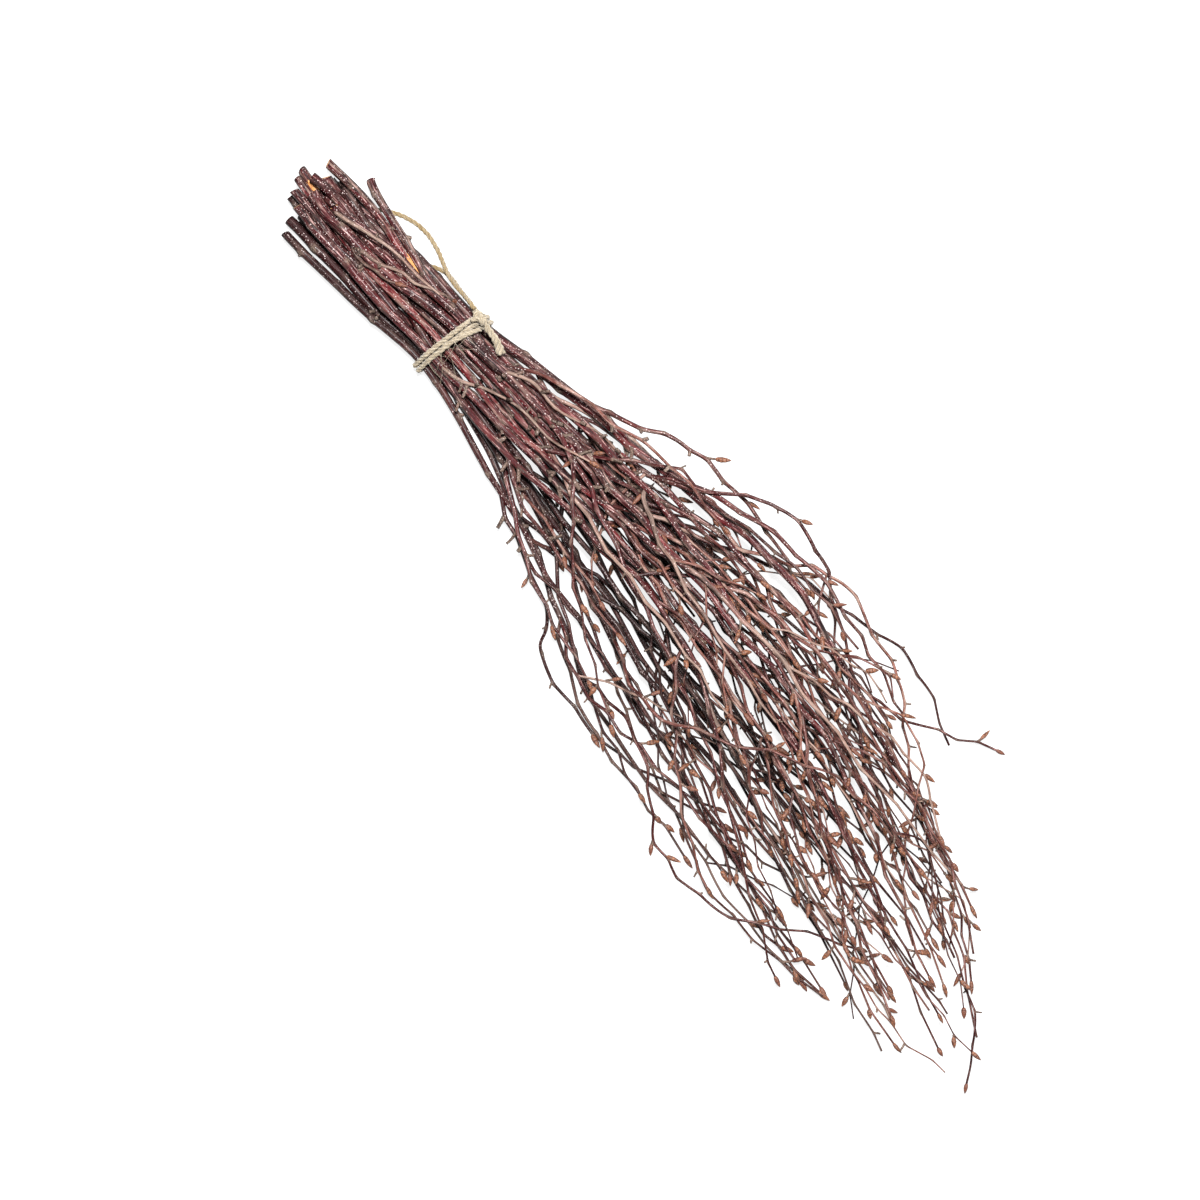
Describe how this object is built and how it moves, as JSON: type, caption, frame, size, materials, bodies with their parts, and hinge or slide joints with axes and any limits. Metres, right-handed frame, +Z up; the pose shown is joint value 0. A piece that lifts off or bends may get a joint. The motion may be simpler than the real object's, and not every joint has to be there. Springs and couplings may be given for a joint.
{
  "type": "bundle of birch branches",
  "caption": "Bundle of dried birch branches with budded twigs, tied near the cut ends with jute twine that has a hanging loop. It lies on a surface.",
  "frame": {"origin": "on the table, below the middle of the bundle's box", "axes": "+X from the cut ends to the twig tips, +Y across the bundle towards the twine's knot, +Z up from the table"},
  "size_m": [0.5956, 0.1756, 0.061],
  "materials": {
    "bark": "smooth thin bark, satin, reddish purple brown with pale pores",
    "twine": "matte natural jute, three twisted plies with loose fibres"
  },
  "bodies": {
    "root": {"branch_01": "bark", "branch_02": "bark", "branch_03": "bark", "branch_04": "bark", "branch_05": "bark", "branch_06": "bark", "branch_07": "bark", "branch_08": "bark", "branch_09": "bark", "branch_10": "bark", "branch_11": "bark", "branch_12": "bark", "branch_13": "bark", "branch_14": "bark", "branch_15": "bark", "branch_16": "bark", "branch_17": "bark", "branch_18": "bark", "branch_19": "bark", "branch_20": "bark", "branch_21": "bark", "branch_22": "bark", "branch_23": "bark", "branch_24": "bark", "twine_wrap": "twine", "twine_knot": "twine", "twine_tail": "twine", "twine_loop": "twine"}
  },
  "joints": []
}
